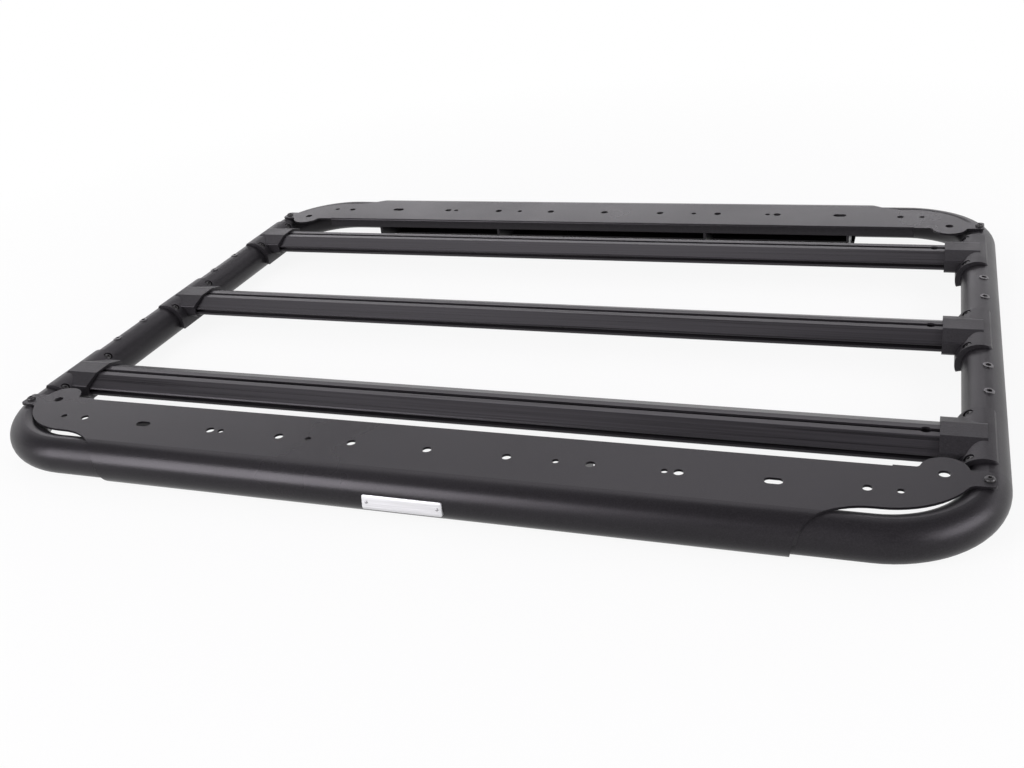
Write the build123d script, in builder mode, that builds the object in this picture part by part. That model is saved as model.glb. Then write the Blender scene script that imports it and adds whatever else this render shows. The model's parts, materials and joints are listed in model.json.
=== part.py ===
from build123d import *
import math
import os

# Flat platform roof rack: bent tube ring, sheet fairing at each end, three crossbars on cast end brackets.
# Millimetres. X runs along the crossbars, Y from front to rear, Z up from the ground under the fairings.

# Tube ring
tube_od = 50.8
tube_wall = 2.4
ring_width = 1250.0          # between the side tube axes
ring_depth = 924.0           # between the front and rear tube axes
corner_radius = 110.0        # bend radius of the tube axis
joint_gap = 1.0              # between the two half rings at the centre
splice_length = 220.0
splice_wall = 3.0

# Fairing sheet
sheet = 3.0
fit = 0.2                    # air between pieces that seat on each other
spare = 5.0                  # cutters run past the faces they cut by this much
wrap_from_bend = 83.0        # from the return lip's end to the tube's bend
lip_length = 26.0            # return lip under the tube
plate_inner = 100.0          # from the tube axis to the inner edge of the flat
plate_outer = 16.0           # from the tube axis to the outer edge of the end lobes
lobe_in = 13.4               # lobe's round, smaller than the tube's bend
lobe_out = 4.5               # lobe's round, outside the centre of the tube's bend
relief_radius = 80.0         # run-out of the roll into the lobe edge
relief_from_lobe = 5.0       # from the start of the run-out to the lobe's round
flange_drop = 15.5
flange_from_ear = 52.8
bend_radius = 3.0            # outside of the flange's bend
ear_radius = 25.5
ear_back = 8.0               # from the ear's hole to the centre of its round
ear_from_side = 44.2         # from the ear's hole to the side tube axis
ear_from_axis = 89.9
ear_fillet = 5.0             # inside corners of the ears
tab_width = 28.0
tab_past_axis = 7.5
tab_from_axis = 85.5
web_fillet = 12.0            # inside corners between tab and lobe
tab_round = 5.0

# Holes in the fairing flats
hole_pitch = 101.6           # four inches
row_from_axis = 46.8
hole_dia = 12.0
end_hole_dia = 11.0
end_hole_from_ear = 75.8
end_hole_back = 3.1
slot_length = 21.0
slot_out = 2.0               # slots, outside the even pitch
ear_hole_dia = 12.7
small_hole_dia = 8.5
small_from_second = 41.5     # from the second large hole towards the centre
small_from_third = 16.0
small_end_from_ear = 42.2
small_end_back = 2.3
tab_hole_dia = 7.0

# Fairing ribs
rib_thick = 4.0
rib_x = 189.0
rib_from_end = 6.5           # from the end ribs to the return lip's end
rib_clear = 14.3             # from the tube axis to the rib's upper tip
rib_front = 34.0             # upright edge along the flange

# Crossbars
bar_half = 38.1
bar_height = 21.0
top_flat = 12.7              # half the width of the flat top
facet_drop = 9.5             # from the flat top to the outer end of its facets
bar_from_axis = 31.0         # from the bar's end to the side tube axis
bar_rise = 2.0               # flat top above the tube's top
edge_in = 1.1                # facet's end, inside the bar's side
edge_land = 1.2              # below the facet's end
edge_height = 9.0
foot_in = 1.3                # flat underside, inside the bar's side
slot_mouth = 7.0
slot_chamber = 17.0
slot_lip = 3.0
slot_depth = 10.0
groove_lip = 1.0
groove_height = 5.0
groove_depth = 9.0
bar_wall = 2.6
bar_web = 2.4
notch_dia = 13.0
notch_from_bracket = 15.0

# End brackets
sleeve_reach = 50.0          # from the side tube axis to the sleeve's inner end
sleeve_wall = 3.6
sleeve_roof = 3.4            # above the bar's flat top
sleeve_flat = 15.5           # half the width of the sleeve's flat top
shoulder_rise = 6.0          # sleeve's shoulder above the bar's upper edge
low_drop = 1.0               # sleeve's lower corner below the bar's lower edge
foot_out = 0.8               # sleeve's underside, outside the bar's
sleeve_round = 2.5
saddle_thick = 4.2           # outer face's radius, past the tube's seat
saddle_shift = 4.0           # outer face's centre, inside the tube axis
saddle_edge = 8.0            # from the bolt to the saddle's end
saddle_round = 6.0           # corners on the tube's inner side
tip_round = 3.0              # corners on the thin outer edge
saddle_over = 24.0           # degrees past the tube top
saddle_under = 26.0          # degrees below the tube axis
bolt_out = 8.1               # from the sleeve's side to the bolt
bolt_angle = 40.0            # degrees inward of the tube top
bolt_dia = 6.6
seat_dia = 12.6
seat_floor = 3.0             # casting left under the bolt's head
ear_gap = 1.2                # between the fairing's ear and the outer brackets

# Threaded inserts in the side tubes
insert_spacing = 68.0
insert_out = 4.0             # outside the side tube axis
insert_flange = 12.6
insert_flange_thick = 1.2
insert_body = 10.0
insert_bore = 6.8
insert_length = 13.0

os.makedirs("parts", exist_ok=True)

tube_r = tube_od / 2
axis_z = tube_r + fit + sheet
tube_top = axis_z + tube_r
plate_low = tube_top + fit
plate_top = plate_low + sheet
side_x = ring_width / 2
end_y = ring_depth / 2
bend_x = side_x - corner_radius
sleeve_half = bar_half + fit + sleeve_wall
bolt_y = sleeve_half + bolt_out
saddle_half = bolt_y + saddle_edge
bar_pitch = end_y - ear_from_axis - ear_back - ear_radius - ear_gap - saddle_half
bar_ys = (-bar_pitch, 0.0, bar_pitch)
bar_names = ("front", "middle", "rear")
insert_ys = [s * (bar_pitch / 2 + d * insert_spacing / 2) for s in (-1, 1) for d in (-1, 1)]


def save(piece, name):
    piece.part.label = name
    export_step(piece.part, f"parts/{name}.step")


def insert_plane(y):
    return Plane(origin=(side_x + insert_out, y, tube_top), x_dir=(1, 0, 0), z_dir=(0, 0, 1))


def tube_section(y):
    # Across the right side tube, centred on its axis.
    return Plane(origin=(side_x, y, axis_z), x_dir=(1, 0, 0), z_dir=(0, -1, 0))


def bolt_plane(y, radius):
    # On the side tube's inner shoulder, looking straight out from the tube axis.
    a = math.radians(bolt_angle)
    out = Vector(-math.sin(a), 0, math.cos(a))
    origin = Vector(side_x, y, axis_z) + out * radius
    return Plane(origin=origin, x_dir=(0, 1, 0), z_dir=out)


# Half rings: one bent tube on each side, meeting at the centre of both ends
with BuildPart() as right_tube:
    with BuildLine(Plane.XY.offset(axis_z)):
        route = FilletPolyline(
            (joint_gap / 2, -end_y),
            (side_x, -end_y),
            (side_x, end_y),
            (joint_gap / 2, end_y),
            radius=corner_radius,
        )
    with BuildSketch(Plane(origin=route @ 0, z_dir=route % 0)):
        Circle(tube_r)
        Circle(tube_r - tube_wall, mode=Mode.SUBTRACT)
    sweep()
    for y in insert_ys:
        with BuildSketch(insert_plane(y)):
            Circle(insert_body / 2 + fit)
        extrude(amount=-tube_r / 2, mode=Mode.SUBTRACT)
    for bar_y in bar_ys:
        for s in (-1, 1):
            with BuildSketch(bolt_plane(bar_y + s * bolt_y, tube_r + spare)):
                Circle(bolt_dia / 2)
            extrude(amount=-tube_r / 2 - spare, mode=Mode.SUBTRACT)
save(right_tube, "right_tube")

with BuildPart() as left_tube:
    mirror(right_tube.part, about=Plane.YZ)
save(left_tube, "left_tube")

# Splice sleeves inside the joints of the half rings
splice_r = tube_r - tube_wall - fit
for name, y in (("front_splice", -end_y), ("rear_splice", end_y)):
    with BuildPart() as splice:
        with BuildSketch(Plane(origin=(0, y, axis_z), x_dir=(0, 1, 0), z_dir=(1, 0, 0))):
            Circle(splice_r)
            Circle(splice_r - splice_wall, mode=Mode.SUBTRACT)
        extrude(amount=splice_length / 2, both=True)
    save(splice, name)

# Front fairing: drilled flat, rolled nose round the tube, return lip, stiffening flange, ears and tabs
roll_in = tube_r + fit
roll_out = roll_in + sheet
nose_y = -end_y - roll_out
inner_y = -end_y + plate_inner
outer_y = -end_y + plate_outer
row_y = -end_y + row_from_axis
ear_y = -end_y + ear_from_axis
tab_y = -end_y + tab_from_axis
tab_end = side_x + tab_past_axis
lip_y = -end_y + lip_length
lip_top = axis_z - roll_in
wrap_half = bend_x - wrap_from_bend
lobe_x = bend_x + lobe_out
relief_x = lobe_x - relief_from_lobe
ear_x = side_x - ear_from_side
flange_half = ear_x - flange_from_ear
end_hole_x = ear_x - end_hole_from_ear
small_end_x = ear_x - small_end_from_ear
slot_count = int((end_hole_x - hole_pitch / 2) // hole_pitch)
small_hole_xs = (2 * hole_pitch - small_from_second, 3 * hole_pitch - small_from_third)
lobe_radius = corner_radius - lobe_in
lobe_y = outer_y + lobe_radius
lobe_turn = 90 + math.degrees(math.asin((tab_y - lobe_y) / lobe_radius))


def relief_point(turn):
    # Circle in the flat sheet, carried round the roll as far as the nose.
    along = relief_radius * (1 - math.cos(turn))
    x = relief_x - relief_radius * math.sin(turn)
    if along <= plate_outer:
        return (x, outer_y - along)
    return (x, -end_y - roll_out * math.sin((along - plate_outer) / roll_out))


nose_turn = math.acos(1 - (plate_outer + roll_out * math.pi / 2) / relief_radius)
nose_x = relief_x - relief_radius * math.sin(nose_turn)
relief_curve = [relief_point(nose_turn * i / 6) for i in range(7)]

with BuildPart() as front_fairing:
    with BuildSketch(Plane.XY.offset(plate_low)) as flat:
        with Locations((0, (inner_y + outer_y) / 2)):
            Rectangle(2 * lobe_x, inner_y - outer_y)
        for s in (-1, 1):
            with BuildLine():
                lobe = CenterArc((s * lobe_x, lobe_y), lobe_radius, -90, s * lobe_turn)
                Polyline(lobe @ 1, (s * ear_x, tab_y), (s * ear_x, inner_y), (s * lobe_x, inner_y), lobe @ 0)
            make_face()
        with Locations((-ear_x, ear_y + ear_back), (ear_x, ear_y + ear_back)):
            Circle(ear_radius)
        with Locations((-(ear_x + tab_end) / 2, tab_y), ((ear_x + tab_end) / 2, tab_y)):
            Rectangle(tab_end - ear_x, tab_width)
        ear_corners = flat.vertices().filter_by(lambda v: ear_x - ear_radius < abs(v.X) < side_x)
        fillet(ear_corners.filter_by(lambda v: v.Y > tab_y), ear_fillet)
        web_corners = flat.vertices().filter_by(lambda v: ear_x < abs(v.X) < side_x)
        fillet(web_corners.filter_by(lambda v: v.Y < tab_y), web_fillet)
        fillet(flat.vertices().filter_by(lambda v: abs(v.X) > tab_end - fit), tab_round)
    extrude(amount=sheet)
    with BuildSketch(Plane.YZ):
        with BuildLine():
            outer_arc = CenterArc((-end_y, axis_z), roll_out, 90, 180)
            inner_arc = CenterArc((-end_y, axis_z), roll_in, 90, 180)
            Polyline(outer_arc @ 0, (row_y, plate_top), (row_y, plate_low), inner_arc @ 0)
            Polyline(outer_arc @ 1, (lip_y, 0), (lip_y, lip_top), inner_arc @ 1)
        make_face()
    extrude(amount=relief_x, both=True)
    with BuildSketch(Plane.XY.offset(axis_z)):
        with BuildLine():
            run_out = Spline(*relief_curve)
            Polyline(
                run_out @ 1,
                (nose_x, nose_y - spare),
                (relief_x + spare, nose_y - spare),
                (relief_x + spare, outer_y),
                run_out @ 0,
            )
        make_face()
        mirror(about=Plane.YZ)
    extrude(amount=plate_top, mode=Mode.SUBTRACT)
    with BuildSketch(Plane.XZ.offset(end_y)):
        with BuildLine():
            Polyline(
                (nose_x, axis_z),
                (wrap_half, 0),
                (wrap_half, -spare),
                (relief_x + spare, -spare),
                (relief_x + spare, axis_z),
                close=True,
            )
        make_face()
        mirror(about=Plane.YZ)
    extrude(amount=roll_out + spare, both=True, mode=Mode.SUBTRACT)
    with BuildSketch(Plane.XY.offset(plate_top)):
        with Locations((0, inner_y - sheet / 2)):
            Rectangle(2 * flange_half, sheet)
    extrude(amount=-flange_drop)
    with BuildSketch(Plane.YZ):
        with Locations((inner_y - bend_radius / 2, plate_top - bend_radius / 2)):
            Rectangle(bend_radius, bend_radius)
        with Locations((inner_y - bend_radius, plate_top - bend_radius)):
            Circle(bend_radius, mode=Mode.SUBTRACT)
    extrude(amount=flange_half, both=True, mode=Mode.SUBTRACT)
    with BuildSketch(Plane.XY.offset(plate_top)):
        with Locations(*[(i * hole_pitch, row_y) for i in range(1 - slot_count, slot_count)]):
            Circle(hole_dia / 2)
        for s in (-1, 1):
            with Locations((s * (slot_count * hole_pitch + slot_out), row_y)):
                SlotOverall(slot_length, hole_dia)
            with Locations((s * end_hole_x, row_y + end_hole_back)):
                Circle(end_hole_dia / 2)
            with Locations((s * ear_x, ear_y)):
                Circle(ear_hole_dia / 2)
            with Locations(*[(s * x, row_y) for x in small_hole_xs]):
                Circle(small_hole_dia / 2)
            with Locations((s * small_end_x, row_y + small_end_back)):
                Circle(small_hole_dia / 2)
            with Locations((s * side_x, tab_y)):
                Circle(tab_hole_dia / 2)
    extrude(amount=-2 * sheet, mode=Mode.SUBTRACT)
save(front_fairing, "front_fairing")

with BuildPart() as rear_fairing:
    mirror(front_fairing.part, about=Plane.XZ)
save(rear_fairing, "rear_fairing")

# Ribs tie the flat, the flange and the return lip together behind the tube
with BuildPart() as rib:
    with BuildSketch(Plane.YZ):
        with BuildLine():
            Polyline(
                (-end_y + rib_clear, lip_top),
                (lip_y, lip_top),
                (inner_y - sheet, plate_low - rib_front),
                (inner_y - sheet, plate_low),
                (-end_y + rib_clear, plate_low),
                close=True,
            )
        make_face()
        with Locations((-end_y, axis_z)):
            Circle(roll_in, mode=Mode.SUBTRACT)
    extrude(amount=rib_thick / 2, both=True)

end_rib_x = wrap_half - rib_from_end
rib_places = (("left_end", -end_rib_x), ("left", -rib_x), ("right", rib_x), ("right_end", end_rib_x))
for place, x in rib_places:
    with BuildPart() as front_rib:
        with Locations((x, 0, 0)):
            add(rib.part)
    save(front_rib, f"front_{place}_rib")
    with BuildPart() as rear_rib:
        mirror(front_rib.part, about=Plane.XZ)
    save(rear_rib, f"rear_{place}_rib")

# Crossbar extrusion: faceted top, T-slot in the flat, groove in each side, three hollow chambers
bar_length = ring_width - 2 * bar_from_axis
bar_edge = bar_half - edge_in
bar_foot = bar_half - foot_in
edge_top = facet_drop + edge_land
edge_low = edge_top + edge_height
groove_top = edge_top + groove_lip
bracket_inner = side_x - sleeve_reach


def top_at(y):
    # Depth of the faceted top below its flat.
    return max(0, y - top_flat) * facet_drop / (bar_edge - top_flat)


def bar_outline(grow):
    # Closed outline in the plane across the bar, grown outwards by the air of a sleeve.
    with BuildSketch(Plane.XY) as outline:
        with BuildLine():
            Polyline(
                (-top_flat, 0),
                (top_flat, 0),
                (bar_edge, -facet_drop),
                (bar_half, -edge_top),
                (bar_half, -edge_low),
                (bar_foot, -bar_height),
                (-bar_foot, -bar_height),
                (-bar_half, -edge_low),
                (-bar_half, -edge_top),
                (-bar_edge, -facet_drop),
                close=True,
            )
        make_face()
        if grow > 0:
            offset(amount=grow, kind=Kind.INTERSECTION)
    return outline.sketch


def across(x, y):
    # Plane across the bar, with its origin on the flat top.
    return Plane(origin=(x, y, tube_top + bar_rise), x_dir=(0, 1, 0), z_dir=(1, 0, 0))


chamber_in = slot_chamber / 2 + bar_web
chamber_out = bar_half - groove_depth - bar_web
floor_z = bar_height - bar_wall
for name, y in zip(bar_names, bar_ys):
    with BuildPart() as crossbar:
        with BuildSketch(across(0, y)):
            add(bar_outline(0))
            with Locations((0, 0)):
                Rectangle(slot_mouth, 2 * slot_lip, mode=Mode.SUBTRACT)
            with Locations((0, -(slot_lip + slot_depth) / 2)):
                Rectangle(slot_chamber, slot_depth - slot_lip, mode=Mode.SUBTRACT)
            for s in (-1, 1):
                with Locations((s * bar_half, -groove_top - groove_height / 2)):
                    Rectangle(2 * groove_depth, groove_height, mode=Mode.SUBTRACT)
                with BuildLine():
                    Polyline(
                        (s * chamber_in, -top_at(chamber_in) - bar_wall),
                        (s * chamber_out, -top_at(chamber_out) - bar_wall),
                        (s * chamber_out, -floor_z),
                        (s * chamber_in, -floor_z),
                        close=True,
                    )
                make_face(mode=Mode.SUBTRACT)
            with Locations((0, -(slot_depth + bar_web + floor_z) / 2)):
                Rectangle(slot_chamber, floor_z - slot_depth - bar_web, mode=Mode.SUBTRACT)
        extrude(amount=bar_length / 2, both=True)
        with BuildSketch(Plane.XY.offset(tube_top + bar_rise)):
            with Locations((bracket_inner - notch_from_bracket, y)):
                Circle(notch_dia / 2)
        extrude(amount=-slot_lip - fit, mode=Mode.SUBTRACT)
    save(crossbar, f"{name}_crossbar")

# End bracket casting: sleeve over the crossbar end, saddle over the side tube, two bolt seats
saddle_out = roll_in + saddle_thick
seat_r = roll_in + seat_floor
sleeve_top = fit + sleeve_roof
sleeve_base = bar_height + fit + sleeve_wall
sleeve_shoulder = edge_top - shoulder_rise
sleeve_low = edge_low + low_drop
sleeve_foot = bar_foot + foot_out
saddle_turn = 90 + saddle_over + saddle_under
with BuildPart() as bracket:
    with BuildSketch(tube_section(0)):
        with BuildLine():
            upper = CenterArc((-saddle_shift, 0), saddle_out, 90 - saddle_over, saddle_turn)
            lower = CenterArc((0, 0), roll_in, 90 - saddle_over, saddle_turn)
            Line(upper @ 0, lower @ 0)
            Line(upper @ 1, lower @ 1)
        make_face()
    extrude(amount=saddle_half, both=True)
    for side, radius in ((1, tip_round), (-1, saddle_round)):
        ends = bracket.edges().filter_by(lambda e: abs(e.center().Y) > saddle_half - fit)
        corners = ends.filter_by(GeomType.LINE).filter_by(lambda e: side * (e.center().X - side_x) > 0)
        fillet(corners, radius)
    with BuildSketch(across(bracket_inner, 0)) as sleeve:
        with BuildLine():
            Polyline(
                (-sleeve_flat, sleeve_top),
                (sleeve_flat, sleeve_top),
                (sleeve_half, -sleeve_shoulder),
                (sleeve_half, -sleeve_low),
                (sleeve_foot, -sleeve_base),
                (-sleeve_foot, -sleeve_base),
                (-sleeve_half, -sleeve_low),
                (-sleeve_half, -sleeve_shoulder),
                close=True,
            )
        make_face()
        fillet(sleeve.vertices(), sleeve_round)
    extrude(amount=sleeve_reach)
    with BuildSketch(tube_section(0)):
        Circle(roll_in)
    extrude(amount=saddle_half + spare, both=True, mode=Mode.SUBTRACT)
    with BuildSketch(across(bracket_inner - spare, 0)):
        add(bar_outline(fit))
    extrude(amount=bar_length / 2 + fit - bracket_inner + spare, mode=Mode.SUBTRACT)
    for s in (-1, 1):
        with BuildSketch(bolt_plane(s * bolt_y, seat_r)):
            Circle(seat_dia / 2)
        extrude(amount=saddle_thick + saddle_shift, mode=Mode.SUBTRACT)
        with BuildSketch(bolt_plane(s * bolt_y, seat_r)):
            Circle(bolt_dia / 2)
        extrude(amount=-seat_floor - spare, mode=Mode.SUBTRACT)

for name, y in zip(bar_names, bar_ys):
    with BuildPart() as right_bracket:
        with Locations((0, y, 0)):
            add(bracket.part)
    save(right_bracket, f"{name}_right_bracket")
    with BuildPart() as left_bracket:
        mirror(right_bracket.part, about=Plane.YZ)
    save(left_bracket, f"{name}_left_bracket")

# Threaded inserts: a collar curved to the tube, a sleeve through the wall, a bore for the screw
collar_r = tube_r + fit / 2 + insert_flange_thick
for number, y in enumerate(insert_ys, 1):
    with BuildPart() as right_insert:
        with BuildSketch(insert_plane(y)):
            Circle(insert_flange / 2)
        extrude(amount=tube_r / 4, both=True)
        with BuildSketch(tube_section(y)):
            Circle(collar_r)
            Circle(collar_r - insert_flange_thick, mode=Mode.SUBTRACT)
        extrude(amount=insert_flange, both=True, mode=Mode.INTERSECT)
        with BuildSketch(insert_plane(y).offset(insert_flange_thick)):
            Circle(insert_body / 2)
        extrude(amount=-insert_length)
        with BuildSketch(tube_section(y)):
            Circle(tube_od)
            Circle(collar_r, mode=Mode.SUBTRACT)
        extrude(amount=insert_flange, both=True, mode=Mode.SUBTRACT)
        with BuildSketch(insert_plane(y).offset(tube_r / 2)):
            Circle(insert_bore / 2)
        extrude(amount=-tube_od, mode=Mode.SUBTRACT)
    save(right_insert, f"right_insert_{number}")
    with BuildPart() as left_insert:
        mirror(right_insert.part, about=Plane.YZ)
    save(left_insert, f"left_insert_{number}")
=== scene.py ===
import json
import math

import bmesh
import bpy
import numpy as np
from mathutils import Matrix, Vector


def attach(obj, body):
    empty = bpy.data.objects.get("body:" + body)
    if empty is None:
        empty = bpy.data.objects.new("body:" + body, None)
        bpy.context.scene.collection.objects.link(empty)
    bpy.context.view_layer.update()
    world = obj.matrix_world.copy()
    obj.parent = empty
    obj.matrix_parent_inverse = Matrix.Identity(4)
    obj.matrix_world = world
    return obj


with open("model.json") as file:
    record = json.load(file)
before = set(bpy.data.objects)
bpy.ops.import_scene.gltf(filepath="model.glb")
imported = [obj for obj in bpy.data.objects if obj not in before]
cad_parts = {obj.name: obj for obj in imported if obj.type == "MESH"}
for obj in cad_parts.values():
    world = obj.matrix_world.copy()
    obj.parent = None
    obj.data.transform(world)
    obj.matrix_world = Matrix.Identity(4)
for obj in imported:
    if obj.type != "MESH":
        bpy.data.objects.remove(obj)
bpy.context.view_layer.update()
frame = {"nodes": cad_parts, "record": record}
scene = bpy.context.scene
scene.view_settings.view_transform = "Standard"
print("frame in:", len(frame["nodes"]), "nodes")


# Node helpers

def addNode(tree, kind, values=None, **settings):
    made = tree.nodes.new(kind)
    for key, value in settings.items():
        setattr(made, key, value)
    for key, value in (values or {}).items():
        made.inputs[key].default_value = value
    return made


def newFinish(name):
    finish = bpy.data.materials.new(name)
    finish.use_nodes = True
    return finish, finish.node_tree, finish.node_tree.nodes["Principled BSDF"]


def blendColours(tree, factor, low, high):
    # low where the factor is 0, high where it is 1
    mix = addNode(tree, "ShaderNodeMix", data_type="RGBA")
    mix.inputs[6].default_value = (*low, 1)
    mix.inputs[7].default_value = (*high, 1)
    tree.links.new(factor, mix.inputs[0])
    return mix.outputs[2]


def remap(tree, value, fromLow, fromHigh, toLow, toHigh):
    # straight line from one range to the other, held at both ends
    span = addNode(tree, "ShaderNodeMapRange")
    for socket, number in zip(span.inputs[1:5], (fromLow, fromHigh, toLow, toHigh)):
        socket.default_value = number
    tree.links.new(value, span.inputs[0])
    return span.outputs[0]


# Finishes. Every pattern reads Object coordinates, so scales are per metre.

grainSpan = (0.38, 0.72)
broadSpan = (0.3, 0.7)


def coatSurface(tree, shader, grain, look):
    # bump from the grain, then strength and tint of the sheen
    bump = addNode(tree, "ShaderNodeBump", {"Strength": look["bump"], "Distance": look["depth"]})
    tree.links.new(grain.outputs[0], bump.inputs["Height"])
    tree.links.new(bump.outputs[0], shader.inputs["Normal"])
    shader.inputs["Specular IOR Level"].default_value = look["specular"]
    shader.inputs["Specular Tint"].default_value = (*look["tint"], 1)


def powderCoat(name, look):
    # fine pebbled coat: small noise lifts the paint and its colour, a broad one shifts the sheen
    finish, tree, shader = newFinish(name)
    place = addNode(tree, "ShaderNodeTexCoord").outputs["Object"]
    grain = addNode(tree, "ShaderNodeTexNoise",
                    {"Scale": look["grainScale"], "Detail": 3.0, "Roughness": 0.6})
    cloud = addNode(tree, "ShaderNodeTexNoise", {"Scale": look["cloudScale"], "Detail": 4.0})
    tree.links.new(place, grain.inputs["Vector"])
    tree.links.new(place, cloud.inputs["Vector"])
    peaks = remap(tree, grain.outputs[0], *grainSpan, 0, 1)
    colour = blendColours(tree, peaks, look["pit"], look["peak"])
    sheen = remap(tree, cloud.outputs[0], *broadSpan, *look["roughness"])
    tree.links.new(colour, shader.inputs["Base Color"])
    tree.links.new(sheen, shader.inputs["Roughness"])
    coatSurface(tree, shader, grain, look)
    return finish


def drawnCoat(name, look):
    # coat over a drawn profile: stretched noise leaves die lines in the colour and the sheen
    finish, tree, shader = newFinish(name)
    place = addNode(tree, "ShaderNodeTexCoord").outputs["Object"]
    stretch = addNode(tree, "ShaderNodeMapping", {"Scale": look["lineStretch"]})
    lines = addNode(tree, "ShaderNodeTexNoise", {"Scale": 1.0, "Detail": 5.0, "Roughness": 0.65})
    grain = addNode(tree, "ShaderNodeTexNoise", {"Scale": look["grainScale"], "Detail": 2.0})
    tree.links.new(place, stretch.inputs["Vector"])
    tree.links.new(stretch.outputs[0], lines.inputs["Vector"])
    tree.links.new(place, grain.inputs["Vector"])
    streaks = remap(tree, lines.outputs[0], *broadSpan, 0, 1)
    colour = blendColours(tree, streaks, look["dark"], look["light"])
    sheen = remap(tree, lines.outputs[0], *broadSpan, *look["roughness"])
    tree.links.new(colour, shader.inputs["Base Color"])
    tree.links.new(sheen, shader.inputs["Roughness"])
    coatSurface(tree, shader, grain, look)
    shader.inputs["Metallic"].default_value = look["metal"]
    return finish


blackTint = (0.985, 0.955, 1.0)
plainTint = (1, 1, 1)

tubeLook = {"pit": (0.0070, 0.0065, 0.0073), "peak": (0.0150, 0.0140, 0.0156),
            "grainScale": 620, "cloudScale": 7, "roughness": (0.32, 0.42),
            "bump": 0.5, "depth": 0.00025, "specular": 0.22, "tint": blackTint}
sheetLook = {"pit": (0.0070, 0.0065, 0.0073), "peak": (0.0150, 0.0140, 0.0156),
             "grainScale": 700, "cloudScale": 5, "roughness": (0.26, 0.34),
             "bump": 0.45, "depth": 0.0002, "specular": 0.22, "tint": blackTint}
castLook = {"pit": (0.0085, 0.0080, 0.0090), "peak": (0.0172, 0.0160, 0.0178),
            "grainScale": 480, "cloudScale": 16, "roughness": (0.34, 0.46),
            "bump": 0.6, "depth": 0.0003, "specular": 0.22, "tint": blackTint}
barLook = {"dark": (0.0040, 0.0037, 0.0042), "light": (0.0228, 0.0213, 0.0237),
           "lineStretch": (2.5, 330, 330), "grainScale": 1100, "roughness": (0.24, 0.42),
           "bump": 0.25, "depth": 0.00012, "specular": 0.32, "tint": blackTint, "metal": 0.0}
zincLook = {"dark": (0.10, 0.097, 0.10), "light": (0.20, 0.196, 0.20),
            "lineStretch": (240, 240, 60), "grainScale": 900, "roughness": (0.30, 0.46),
            "bump": 0.2, "depth": 0.0001, "specular": 0.5, "tint": plainTint, "metal": 1.0}
boltLook = {"dark": (0.016, 0.016, 0.017), "light": (0.034, 0.033, 0.032),
            "lineStretch": (300, 300, 300), "grainScale": 1500, "roughness": (0.30, 0.44),
            "bump": 0.2, "depth": 0.0001, "specular": 0.5, "tint": plainTint, "metal": 0.3}
plateLook = {"dark": (0.52, 0.52, 0.53), "light": (0.68, 0.68, 0.69),
             "lineStretch": (12, 1500, 1500), "grainScale": 1400, "roughness": (0.34, 0.50),
             "bump": 0.1, "depth": 0.00005, "specular": 0.5, "tint": plainTint, "metal": 0.8}
rivetLook = {"dark": (0.24, 0.24, 0.245), "light": (0.36, 0.36, 0.365),
             "lineStretch": (600, 600, 600), "grainScale": 1400, "roughness": (0.34, 0.50),
             "bump": 0.1, "depth": 0.00005, "specular": 0.5, "tint": plainTint, "metal": 0.9}

finishes = {
    "tube": powderCoat("tubeCoat", tubeLook),
    "sheet": powderCoat("sheetCoat", sheetLook),
    "casting": powderCoat("castCoat", castLook),
    "extrusion": drawnCoat("barCoat", barLook),
    "insert": drawnCoat("zincSteel", zincLook),
}
boltFinish = drawnCoat("blackBolt", boltLook)
plateFinish = drawnCoat("brushedPlate", plateLook)
rivetFinish = drawnCoat("plateRivet", rivetLook)

slotOf = {row["node"]: row["material_slot"] for row in frame["record"]["subparts"]}
for nodeName, cadObject in frame["nodes"].items():
    cadObject.data.materials.clear()
    cadObject.data.materials.append(finishes[slotOf[nodeName]])
print("finishes on:", len(frame["nodes"]), "nodes")


# Mesh helpers

creaseAngle = math.radians(35)


def gridMesh(name, grid, finish):
    # grid is copies x rows x columns x 3; rows run round and close, columns run along the profile
    copies, rows, cols = grid.shape[:3]
    k, r, c = np.meshgrid(np.arange(copies), np.arange(rows), np.arange(cols - 1), indexing="ij")
    first = (k * rows + r) * cols + c
    after = (k * rows + (r + 1) % rows) * cols + c
    quads = np.stack([first, after, after + 1, first + 1], -1).reshape(-1, 4)
    mesh = bpy.data.meshes.new(name)
    mesh.from_pydata(grid.reshape(-1, 3).tolist(), [], quads.tolist())
    work = bmesh.new()
    work.from_mesh(mesh)
    bmesh.ops.remove_doubles(work, verts=work.verts, dist=1e-6)
    bmesh.ops.dissolve_degenerate(work, edges=work.edges, dist=1e-7)
    bmesh.ops.recalc_face_normals(work, faces=work.faces)
    work.to_mesh(mesh)
    work.free()
    mesh.materials.append(finish)
    mesh.shade_smooth()
    mesh.set_sharp_from_angle(angle=creaseAngle)
    piece = bpy.data.objects.new(name, mesh)
    scene.collection.objects.link(piece)
    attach(piece, "root")


def turnedProfile(stations, segments, flats=0.0):
    # each station is (radius, height, hex share):
    # radius * (1 - share) + hexagon(angle) * share, carried round Z
    radius, height, share = (np.array(column)[None, :] for column in zip(*stations))
    angle = np.linspace(0, 2 * math.pi, segments, endpoint=False)[:, None]
    hexagon = flats / 2 / np.cos((angle + math.pi / 6) % (math.pi / 3) - math.pi / 6)
    reach = radius * (1 - share) + hexagon * share
    return np.stack([reach * np.cos(angle), reach * np.sin(angle), height + 0 * angle], -1)


def placed(shape, frames, origins):
    # shape turned by every 3 x 3 frame (columns are its axes) and moved to that frame's origin
    return np.einsum("kij,rcj->krci", frames, shape) + origins[:, None, None, :]


# Button heads: an elliptical dome from the rim in to a hex socket with a coned floor

domeTurn = 1.05
socketCone = 0.0005


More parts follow.
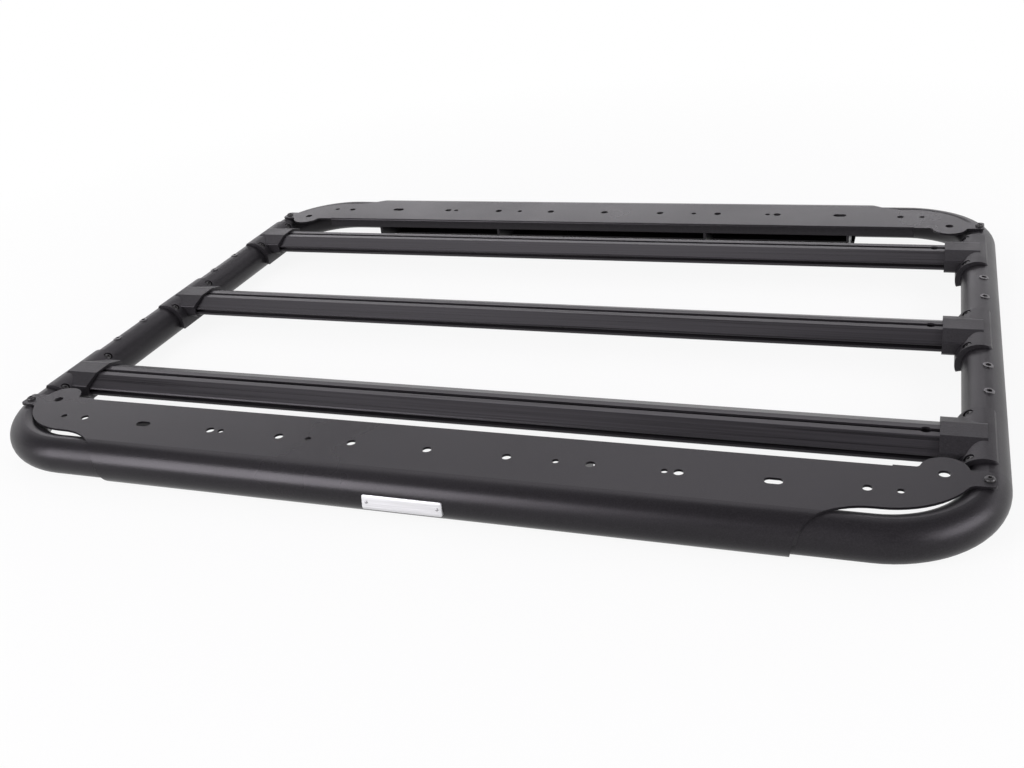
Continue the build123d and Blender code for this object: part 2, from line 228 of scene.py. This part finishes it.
def buttonHead(b):
    turn = np.linspace(0, domeTurn, 7)
    lift = b["rim"] + (b["dome"] - b["rim"]) * np.sin(turn) / math.sin(domeTurn)
    dome = [(b["head"] * math.cos(a), z, 0) for a, z in zip(turn, lift)]
    socket = b["dome"] - b["hexDepth"]
    stations = [(b["head"], 0.0, 0), *dome, (0, b["dome"], 1), (0, socket, 1), (0, socket - socketCone, 0)]
    return turnedProfile(stations, b["segments"], b["hex"])


# Bracket bolts, two to a saddle, sunk in its seats

bolt = {"across": 0.625, "axisHeight": 0.0286, "seatRadius": 0.0286, "lean": 40.0,
        "barPitch": 0.2794, "fromBar": 0.050, "head": 0.0054, "rim": 0.0007, "dome": 0.0030,
        "hex": 0.004, "hexDepth": 0.0019, "segments": 48}

sides = np.repeat([-1.0, 1.0], 6)
barYs = np.repeat([-1, 0, 1], 2) * bolt["barPitch"]
boltYs = np.tile(barYs + np.tile([-1, 1], 3) * bolt["fromBar"], 2)
lean = math.radians(bolt["lean"])
outward = np.stack([-sides * math.sin(lean), 0 * sides, 0 * sides + math.cos(lean)], -1)
along = np.tile([0.0, 1.0, 0.0], (len(sides), 1))
boltFrames = np.stack([np.cross(along, outward), along, outward], -1)
tubeAxis = np.stack([sides * bolt["across"], boltYs, 0 * sides + bolt["axisHeight"]], -1)
boltOrigins = tubeAxis + outward * bolt["seatRadius"]
gridMesh("bracket_bolts", placed(buttonHead(bolt), boltFrames, boltOrigins), boltFinish)
print("bracket bolts:", len(sides))


# Tab screws, one on each of the four tabs

tabScrew = {"x": 0.625, "y": 0.3765, "z": 0.0572, "head": 0.0058, "rim": 0.0008, "dome": 0.0034,
            "hex": 0.004, "hexDepth": 0.002, "segments": 48}

tabOrigins = np.array([(sx * tabScrew["x"], sy * tabScrew["y"], tabScrew["z"])
                       for sx in (-1, 1) for sy in (-1, 1)])
tabFrames = np.tile(np.eye(3), (len(tabOrigins), 1, 1))
gridMesh("tab_screws", placed(buttonHead(tabScrew), tabFrames, tabOrigins), boltFinish)
print("tab screws:", len(tabOrigins))


# Bare plate on the front roll: a flat face leaning back a little, its back shaped to the roll

barePlate = {"centreX": -0.0044, "halfWidth": 0.0508, "halfHeight": 0.0089, "corner": 0.0024,
             "edge": 0.0004, "edgeShare": 0.3, "axisY": -0.462, "axisZ": 0.0286,
             "rollRadius": 0.0286, "offRoll": 0.0012, "below": 0.0070, "sunk": 0.0004, "tilt": 10.0}


def roundedOutline(halfWidth, halfHeight, corner, inset, steps=10):
    # rounded rectangle drawn corner by corner, every corner a quarter arc; inset moves it inwards evenly
    quarter = np.linspace(0, math.pi / 2, steps)
    angle = (np.arange(4)[:, None] * math.pi / 2 + quarter[None, :]).ravel()[:, None]
    signX = np.repeat([1, -1, -1, 1], steps)[:, None]
    signY = np.repeat([1, 1, -1, -1], steps)[:, None]
    inset = np.asarray(inset)[None, :]
    radius = np.maximum(corner - inset, 0)
    wide = np.maximum(halfWidth - inset - radius, 0)
    high = np.maximum(halfHeight - inset - radius, 0)
    return signX * wide + radius * np.cos(angle), signY * high + radius * np.sin(angle)


edge, halfHeight = barePlate["edge"], barePlate["halfHeight"]
bevel = edge * barePlate["edgeShare"]
plateInset = np.array([0, 0, bevel, edge, halfHeight / 2, halfHeight])
outlineX, outlineY = roundedOutline(barePlate["halfWidth"], halfHeight, barePlate["corner"], plateInset)
plateLift = np.array([0, -edge, -bevel, 0, 0, 0]) + 0 * outlineX
# the back's rim follows the roll: sqrt(radius^2 - height^2) - radius, with height from the roll's nearest line
heightOnRoll = outlineY[:, 0] - barePlate["below"]
rollDepth = np.sqrt(barePlate["rollRadius"] ** 2 - heightOnRoll ** 2) - barePlate["rollRadius"]
plateLift[:, 0] = rollDepth - barePlate["offRoll"] - barePlate["sunk"]
plateGrid = np.stack([outlineX, outlineY, plateLift], -1)

tilt = math.radians(barePlate["tilt"])
plateOut = np.array([0, -math.cos(tilt), math.sin(tilt)])
plateUp = np.array([0, math.sin(tilt), math.cos(tilt)])
plateFrame = np.stack([[1.0, 0, 0], plateUp, plateOut], -1)[None]
plateCentre = np.array([[barePlate["centreX"], barePlate["axisY"], barePlate["axisZ"]]])
plateCentre = plateCentre + plateOut * (barePlate["rollRadius"] + barePlate["offRoll"])
plateCentre = plateCentre - plateUp * barePlate["below"]
gridMesh("front_plate", placed(plateGrid, plateFrame, plateCentre), plateFinish)


# Plate rivets: half an ellipse turned round

rivet = {"fromCentre": 0.0450, "radius": 0.0020, "height": 0.0011, "segments": 24}

rivetStations = [(rivet["radius"] * math.cos(a), rivet["height"] * math.sin(a), 0)
                 for a in np.linspace(0, math.pi / 2, 7)]
rivetShape = turnedProfile(rivetStations, rivet["segments"])
rivetSpots = plateCentre + np.array([[-1.0, 0, 0], [1.0, 0, 0]]) * rivet["fromCentre"]
gridMesh("plate_rivets", placed(rivetShape, np.repeat(plateFrame, 2, 0), rivetSpots), rivetFinish)
print("front plate and rivets")


# Floor: white where it is seen, with the object's shadow showing through near the middle

ground = {"size": 30.0, "drop": 0.0006, "colour": (0.60, 0.60, 0.60), "roughness": 0.9,
          "glow": (0.90, 1.0), "glowReach": (0.75, 1.7)}


def seenDirectly(tree):
    # 1 on camera, glossy and transmission rays
    rays = addNode(tree, "ShaderNodeLightPath").outputs
    first = addNode(tree, "ShaderNodeMath", operation="MAXIMUM")
    both = addNode(tree, "ShaderNodeMath", operation="MAXIMUM")
    tree.links.new(rays["Is Camera Ray"], first.inputs[0])
    tree.links.new(rays["Is Glossy Ray"], first.inputs[1])
    tree.links.new(first.outputs[0], both.inputs[0])
    tree.links.new(rays["Is Transmission Ray"], both.inputs[1])
    return both.outputs[0]


half = ground["size"] / 2
low = -ground["drop"]
floorMesh = bpy.data.meshes.new("floor")
floorMesh.from_pydata([(-half, -half, low), (half, -half, low), (half, half, low), (-half, half, low)],
                      [], [(0, 1, 2, 3)])
floor = bpy.data.objects.new("floor", floorMesh)
scene.collection.objects.link(floor)

floorFinish, floorTree, floorShader = newFinish("paleFloor")
floorShader.inputs["Base Color"].default_value = (*ground["colour"], 1)
floorShader.inputs["Roughness"].default_value = ground["roughness"]
floorShader.inputs["Specular IOR Level"].default_value = 0.0
glow = addNode(floorTree, "ShaderNodeEmission", {"Color": (1, 1, 1, 1), "Strength": 1.0})
floorPlace = addNode(floorTree, "ShaderNodeTexCoord").outputs["Object"]
fromCentre = addNode(floorTree, "ShaderNodeVectorMath", operation="LENGTH")
floorTree.links.new(floorPlace, fromCentre.inputs[0])
glowShare = remap(floorTree, fromCentre.outputs["Value"], *ground["glowReach"], *ground["glow"])
share = addNode(floorTree, "ShaderNodeMath", operation="MULTIPLY")
floorTree.links.new(seenDirectly(floorTree), share.inputs[0])
floorTree.links.new(glowShare, share.inputs[1])
floorMix = addNode(floorTree, "ShaderNodeMixShader")
floorTree.links.new(share.outputs[0], floorMix.inputs[0])
floorTree.links.new(floorShader.outputs[0], floorMix.inputs[1])
floorTree.links.new(glow.outputs[0], floorMix.inputs[2])
floorTree.links.new(floorMix.outputs[0], floorTree.nodes["Material Output"].inputs["Surface"])
floorMesh.materials.append(floorFinish)
print("floor down")


# World: a wall behind with a bright strip low on it, fading upwards and round to the camera's side.
# The paired heights are sines of elevation.

studio = {"wallToward": (-0.40, 0.915, 0.0), "wallFade": (0.30, 0.90), "wall": 0.29, "wallTop": (0.42, 0.75),
          "strip": 4.6, "stripTop": (0.27, 0.36), "overhead": 0.20, "ahead": 0.27,
          "horizonTop": (0.18, 0.30), "lightColour": (1.0, 0.97, 1.02)}

world = bpy.data.worlds.new("studioWorld")
scene.world = world
world.use_nodes = True
sky = world.node_tree
sky.nodes.clear()
toward = addNode(sky, "ShaderNodeTexCoord").outputs["Generated"]
split = addNode(sky, "ShaderNodeSeparateXYZ")
sky.links.new(toward, split.inputs[0])
height = split.outputs[2]
facing = addNode(sky, "ShaderNodeVectorMath", operation="DOT_PRODUCT")
facing.inputs[1].default_value = studio["wallToward"]
sky.links.new(toward, facing.inputs[0])
wallGlow = addNode(sky, "ShaderNodeMath", operation="ADD")
sky.links.new(remap(sky, height, *studio["wallTop"], studio["wall"], studio["overhead"]), wallGlow.inputs[0])
sky.links.new(remap(sky, height, *studio["stripTop"], studio["strip"], 0), wallGlow.inputs[1])
around = addNode(sky, "ShaderNodeMapRange", {"From Min": studio["wallFade"][0],
                                             "From Max": studio["wallFade"][1], "To Min": studio["ahead"]})
sky.links.new(facing.outputs["Value"], around.inputs["Value"])
sky.links.new(wallGlow.outputs[0], around.inputs["To Max"])
dome = addNode(sky, "ShaderNodeBackground", {"Color": (*studio["lightColour"], 1)})
sky.links.new(around.outputs[0], dome.inputs["Strength"])

# white horizon where it is seen
white = addNode(sky, "ShaderNodeBackground", {"Color": (1, 1, 1, 1), "Strength": 1.0})
lowBand = addNode(sky, "ShaderNodeMath", operation="MULTIPLY")
sky.links.new(seenDirectly(sky), lowBand.inputs[0])
sky.links.new(remap(sky, height, *studio["horizonTop"], 1, 0), lowBand.inputs[1])
skyMix = addNode(sky, "ShaderNodeMixShader")
sky.links.new(lowBand.outputs[0], skyMix.inputs[0])
sky.links.new(dome.outputs[0], skyMix.inputs[1])
sky.links.new(white.outputs[0], skyMix.inputs[2])
sky.links.new(skyMix.outputs[0], addNode(sky, "ShaderNodeOutputWorld").inputs["Surface"])


# Soft boxes, all aimed at the rack's middle

softBoxes = {
    "keyLight": {"at": (-2.0, -2.9, 1.65), "size": (2.2, 2.2), "power": 165.0},
    "ceilingLight": {"at": (-0.8, 1.8, 2.3), "size": (3.8, 1.6), "power": 22.0},
    "overheadLight": {"at": (-0.9, 0.42, 2.3), "size": (4.4, 1.2), "power": 8.5},
    "sideLight": {"at": (2.7, -0.75, 1.15), "size": (2.3, 1.2), "power": 68.0},
    "rearSideLight": {"at": (2.4, 1.25, 1.1), "size": (1.8, 1.0), "power": 6.0},
}

for boxName, box in softBoxes.items():
    lamp = bpy.data.lights.new(boxName, "AREA")
    lamp.shape = "RECTANGLE"
    lamp.size, lamp.size_y = box["size"]
    lamp.energy = box["power"]
    lamp.color = studio["lightColour"]
    stand = bpy.data.objects.new(boxName, lamp)
    stand.location = box["at"]
    stand.rotation_euler = (-Vector(box["at"])).to_track_quat("-Z", "Y").to_euler()
    scene.collection.objects.link(stand)
print("studio up:", len(softBoxes), "lamps")


# Camera, as the picture was taken: yaw from +Y towards +X, pitch down, roll clockwise

shot = {"at": (0.5456, -1.4659, 0.7408), "yaw": -22.08, "pitch": 27.34, "roll": 6.70,
        "lens": 39.94, "sensor": 36.0}

yaw, pitch, roll = (math.radians(shot[key]) for key in ("yaw", "pitch", "roll"))
ahead = Vector((math.sin(yaw) * math.cos(pitch), math.cos(yaw) * math.cos(pitch), -math.sin(pitch)))
level = ahead.cross(Vector((0, 0, 1))).normalized()
down = ahead.cross(level)
right = level * math.cos(roll) + down * math.sin(roll)
up = level * math.sin(roll) - down * math.cos(roll)
lens = bpy.data.cameras.new("shot")
lens.sensor_width = shot["sensor"]
lens.lens = shot["lens"]
camera = bpy.data.objects.new("shot", lens)
camera.matrix_world = Matrix.Translation(shot["at"]) @ Matrix((right, up, -ahead)).transposed().to_4x4()
scene.collection.objects.link(camera)
scene.camera = camera
print("camera set")
